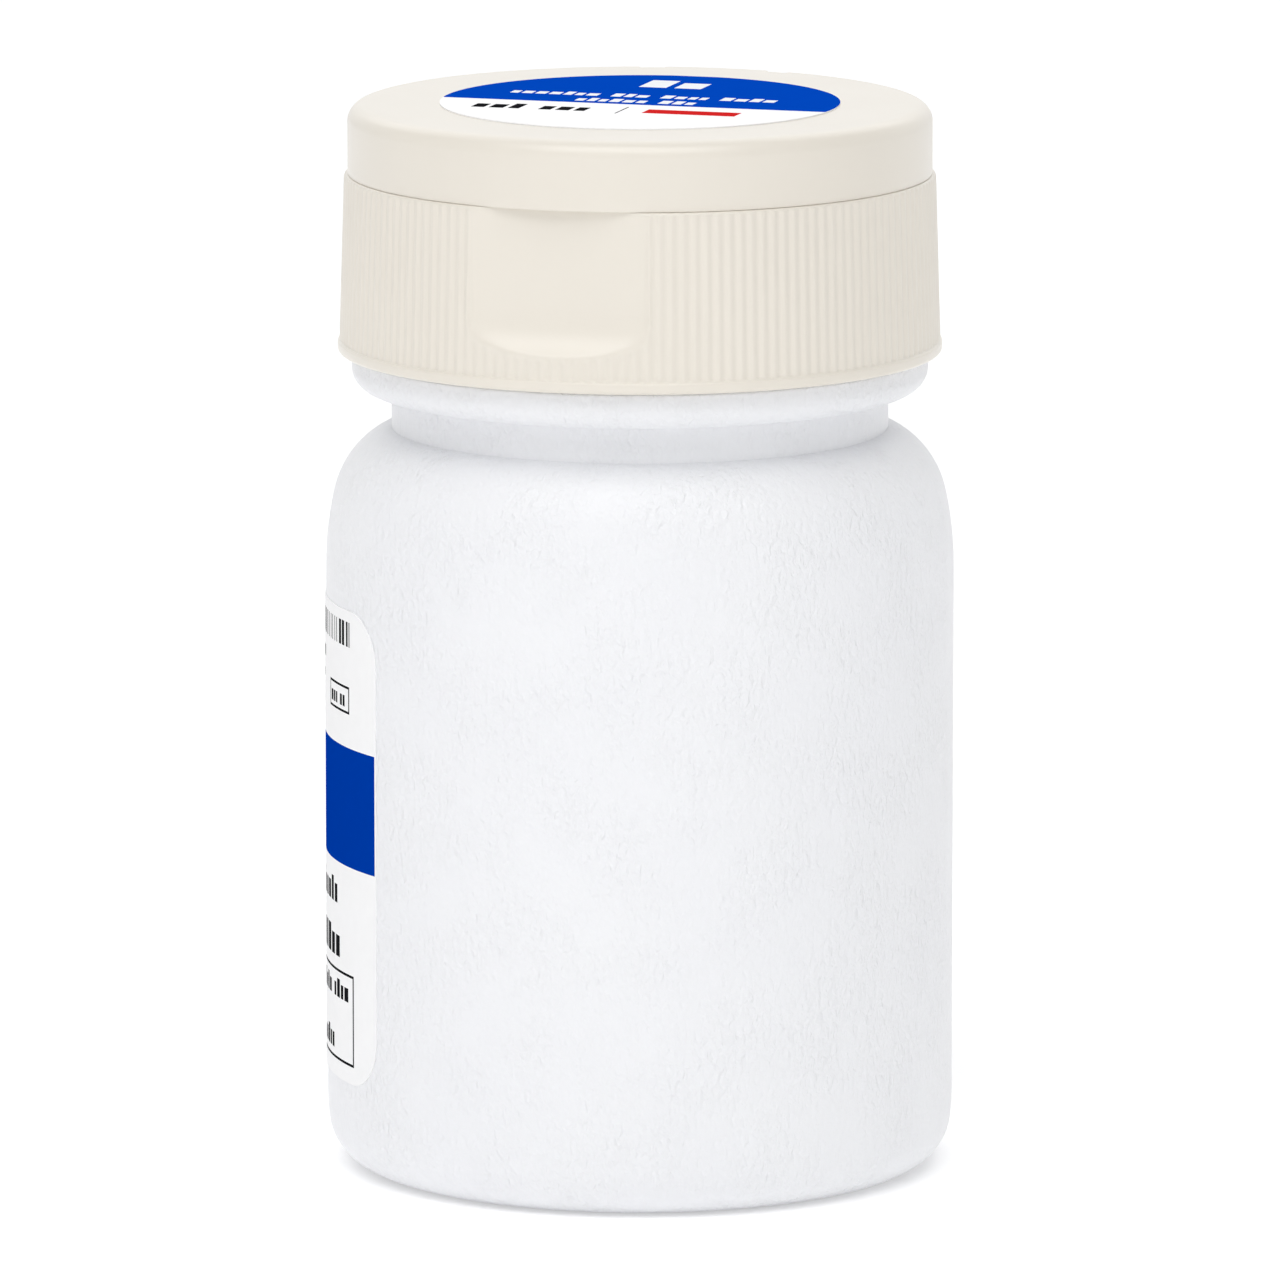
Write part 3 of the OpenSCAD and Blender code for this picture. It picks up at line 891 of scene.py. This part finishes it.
def build_body_label(inks):
    """The wrap-round label: a blue band, blocks in place of words, bars and boxes.

    The marks are placed in millimetres from its lower left corner.
    """
    rng = random.Random(11)
    low_z, height = label_low[2], label_high[2] - label_low[2]
    margin = 0.12
    marks = [(margin, LABEL_W - margin, 17.5, 27.1, BLUE)]
    word_row(marks, rng, 9, 44, 21.6, 24.6, PALE, 1.9)
    word_row(marks, rng, 9, 36, 18.9, 20.3, PALE, 0.8)
    word_row(marks, rng, 50, 66, 21.9, 23.9, PALE, 1.3)
    bar_row(marks, rng, LABEL_W - 26, LABEL_W - 4.3, 35.2, 37.2, BLACK)
    outline_box(marks, LABEL_W - 9.6, LABEL_W - 4.4, 29.8, 32.0, 0.2, BLACK)
    word_row(marks, rng, LABEL_W - 9.1, LABEL_W - 4.9, 30.3, 31.5, BLACK, 0.55)
    for row in range(3):
        foot = 33.2 - 1.7 * row
        word_row(marks, rng, LABEL_W - 30, LABEL_W - 12 - row, foot, foot + 0.9, BLACK, 0.45)
    word_row(marks, rng, LABEL_W - 26, LABEL_W - 7.2, 14.1, 16.1, BLACK, 1.05)
    word_row(marks, rng, LABEL_W - 26, LABEL_W - 5.6, 9.8, 12.1, BLACK, 1.15)
    outline_box(marks, LABEL_W - 27, LABEL_W - 3.7, 1.4, 8.8, 0.22, BLACK)
    word_row(marks, rng, LABEL_W - 26, LABEL_W - 4.5, 6.5, 8.0, BLACK, 0.8)
    word_row(marks, rng, LABEL_W - 26, LABEL_W - 8.3, 2.2, 3.8, BLACK, 0.8)
    word_row(marks, rng, 8, 26, 30.6, 33.4, BLACK, 1.7)
    marks.append((28.2, 28.4, 30.2, 34.2, BLACK))
    marks.append((30, 41, 30.9, 33.5, RED))
    for row in range(6):
        word_row(marks, rng, 9, 54 - 3 * (row % 3), 14.2 - 2.1 * row, 15.3 - 2.1 * row, BLACK, 0.5)
    right = math.radians(LABEL_RIGHT_ANGLE)

    def extent(u):
        edge = min(u, LABEL_W - u)
        if edge >= LABEL_CORNER:
            return 0, height
        cut = LABEL_CORNER - math.sqrt(max(0, LABEL_CORNER ** 2 - (LABEL_CORNER - edge) ** 2))
        return cut, height - cut

    def place(u, v, lift):
        a = right - (LABEL_W - u) / (BODY_R + LABEL_T / 2)
        r = BODY_R + LABEL_LIFT + (LABEL_T - LABEL_LIFT) * lift
        return r * math.cos(a), r * math.sin(a), low_z + v

    corner_cuts = [LABEL_CORNER * (1 - math.cos(math.radians(9 * k))) for k in range(1, 10)]
    extra = corner_cuts + [LABEL_W - c for c in corner_cuts]
    return printed_sheet("body_label_paper", (LABEL_W, height), marks, extent, place, inks, 0.7, extra)


def build_lid_label(inks):
    """The round label: blue towards the hinge, white towards the recess, and blocks in place of words."""
    rng = random.Random(5)
    size = 2 * disc_high[0]
    half = size / 2
    front_edge = half - 1.85
    margin = 0.1
    marks = [(0, size, front_edge, size - margin, BLUE)]
    word_row(marks, rng, half - 11.5, half + 12.5, half + 2.3, half + 4.1, PALE, 0.85)
    word_row(marks, rng, half - 5.2, half + 5.2, half - 0.8, half + 1.0, PALE, 0.85)
    word_row(marks, rng, half - 2.6, half + 2.6, half + 8.4, half + 12.6, PALE, 2.1)
    word_row(marks, rng, half - 12, half - 1.5, half - 6.6, half - 3.9, BLACK, 1.2)
    marks.append((half, half + 0.14, half - 7.2, half - 3.4, BLACK))
    marks.append((half + 2.0, half + 9.6, half - 6.4, half - 4.2, RED))

    def extent(u):
        reach = math.sqrt(max(0, half ** 2 - (u - half) ** 2))
        return half - reach, half + reach

    def place(u, v, lift):
        thickness = disc_high[2] - disc_low[2] - LABEL_LIFT
        return u - half, v - half, disc_low[2] + LABEL_LIFT + thickness * lift

    extra = [half * (1 - math.cos(math.radians(2.5 * k))) for k in range(1, 72)]
    return printed_sheet("lid_label_paper", (size, size), marks, extent, place, inks, 0.8, extra)


# ---------------------------------------------------------------- putting it together
def fit(obj, body, node):
    """obj stands for a CAD node, which it hides, and moves with its body."""
    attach(obj, body)
    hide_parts(node)


def hinge_fit(obj, node):
    """obj stands for a hinge node, which it hides, and its placement is baked into its mesh."""
    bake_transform(obj)
    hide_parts(node)


BEIGE_DARK, BEIGE_LIGHT = (0.768, 0.722, 0.642), (0.782, 0.737, 0.656)
closure_material = moulded_plastic("closure_plastic", BEIGE_DARK, BEIGE_LIGHT, 0.3)
lid_material = moulded_plastic("lid_plastic", BEIGE_DARK, BEIGE_LIGHT, 0.32)
body_inks = [label_ink("body_label_white", (0.93, 0.93, 0.935)),
             label_ink("body_label_blue", (0.0, 0.04, 0.36)),
             label_ink("body_label_black", (0.012, 0.012, 0.014)),
             label_ink("body_label_red", (0.6, 0.02, 0.02)),
             label_ink("body_label_pale", (0.86, 0.87, 0.9))]
lid_inks = [label_ink("lid_label_white", (0.97, 0.97, 0.975)),
            label_ink("lid_label_blue", (0.0006, 0.061, 0.49)),
            label_ink("lid_label_black", (0.012, 0.012, 0.014)),
            label_ink("lid_label_red", (0.65, 0.02, 0.02)),
            label_ink("lid_label_pale", (0.88, 0.89, 0.92))]

fit(build_bottle(bottle_plastic()), "bottle", "bottle")
fit(build_closure(closure_material), "closure", "closure_base")
fit(build_lid(lid_material), "lid", "flip_lid")
fit(build_gasket(foam()), "liner", "gasket")
fit(build_body_label(body_inks), "bottle", "body_label")
fit(build_lid_label(lid_inks), "lid", "lid_label")
hinge_fit(build_web(closure_material), "hinge_web")
for strap, side in (("hinge_strap_left", 1), ("hinge_strap_right", -1)):
    hinge_fit(build_strap(strap + "_strip", side, closure_material), strap)


# ---------------------------------------------------------------- floor, lights and camera
TARGET_Z = 42
CAMERA_TARGET_Z = 42.05
CAMERA_AZIMUTH = 16.5
CAMERA_ELEVATION = 9.95
CAMERA_DISTANCE = 1.089
CAMERA_LENS = 384.05
CAMERA_SENSOR = 36
CAMERA_CLIP_END = 20


def build_floor():
    """A wide pale floor, a hair below the bottle's standing ring."""
    reach, z = 3000, -0.02
    corners = [(-reach, -reach, z), (reach, -reach, z), (reach, reach, z), (-reach, reach, z)]
    floor = mesh_object("floor", corners, [(0, 1, 2, 3)], floor_paint())


def outward(azimuth, elevation):
    """The direction away from the object, in degrees. Azimuth 0 is in front."""
    a, e = math.radians(azimuth), math.radians(elevation)
    return Vector((math.sin(a) * math.cos(e), -math.cos(a) * math.cos(e), math.sin(e)))


def soft_light(name, azimuth, elevation, distance, width, height, power):
    """A rectangular soft light, aimed at the middle of the object. Lengths are in metres, power in watts."""
    away = outward(azimuth, elevation)
    data = bpy.data.lights.new(name, "AREA")
    data.shape = "RECTANGLE"
    data.size = width
    data.size_y = height
    data.energy = power
    lamp = bpy.data.objects.new(name, data)
    lamp.location = Vector((0, 0, TARGET_Z * MM)) + away * distance
    lamp.rotation_euler = away.to_track_quat("Z", "Y").to_euler()
    lamp.visible_camera = False
    bpy.context.scene.collection.objects.link(lamp)


def set_world(horizon, right, backdrop, zenith):
    """Plain white surroundings: a bright backdrop behind, dimmer in front, on the right and overhead.

    The four numbers are strengths in front, on the right, behind and overhead.
    """
    world = bpy.data.worlds.new("studio")
    world.use_nodes = True
    tree = world.node_tree
    place = tree.nodes.new("ShaderNodeTexCoord")
    split = tree.nodes.new("ShaderNodeSeparateXYZ")
    tree.links.new(place.outputs["Generated"], split.inputs["Vector"])

    def fade(axis, low, high, before, after):
        """A strength from before to after, as the direction's part along axis goes from low to high."""
        node = tree.nodes.new("ShaderNodeMapRange")
        node.interpolation_type = "SMOOTHSTEP"
        for socket, value in (("From Min", low), ("From Max", high), ("To Min", before), ("To Max", after)):
            node.inputs[socket].default_value = value
        tree.links.new(split.outputs[axis], node.inputs["Value"])
        return node

    sides = fade("X", 0.3, 0.95, horizon, right)
    around = fade("Y", 0.15, 0.95, 0.0, backdrop)
    tree.links.new(sides.outputs["Result"], around.inputs["To Min"])
    upward = fade("Z", 0.3, 0.65, 0.0, zenith)
    tree.links.new(around.outputs["Result"], upward.inputs["To Min"])
    background = tree.nodes["Background"]
    background.inputs["Color"].default_value = (1.0, 1.0, 1.0, 1.0)
    tree.links.new(upward.outputs["Result"], background.inputs["Strength"])
    bpy.context.scene.world = world


def add_camera():
    """The camera, at the height and distance that give the view its framing."""
    away = outward(CAMERA_AZIMUTH, CAMERA_ELEVATION)
    data = bpy.data.cameras.new("camera")
    data.lens = CAMERA_LENS
    data.sensor_width = CAMERA_SENSOR
    data.clip_end = CAMERA_CLIP_END
    camera = bpy.data.objects.new("camera", data)
    camera.location = Vector((0, 0, CAMERA_TARGET_Z * MM)) + away * CAMERA_DISTANCE
    camera.rotation_euler = away.to_track_quat("Z", "Y").to_euler()
    bpy.context.scene.collection.objects.link(camera)
    bpy.context.scene.camera = camera


build_floor()
set_world(horizon=0.58, right=0.49, backdrop=1.0, zenith=0.34)
soft_light("overhead_front", azimuth=8, elevation=60, distance=1.3, width=1.4, height=0.95, power=10.4)
soft_light("behind", azimuth=196.5, elevation=50, distance=2.2, width=3.0, height=2.0, power=17.0)
soft_light("front", azimuth=4, elevation=14, distance=1.3, width=2.0, height=0.6, power=0.85)
add_camera()
bpy.context.scene.view_settings.view_transform = "Standard"
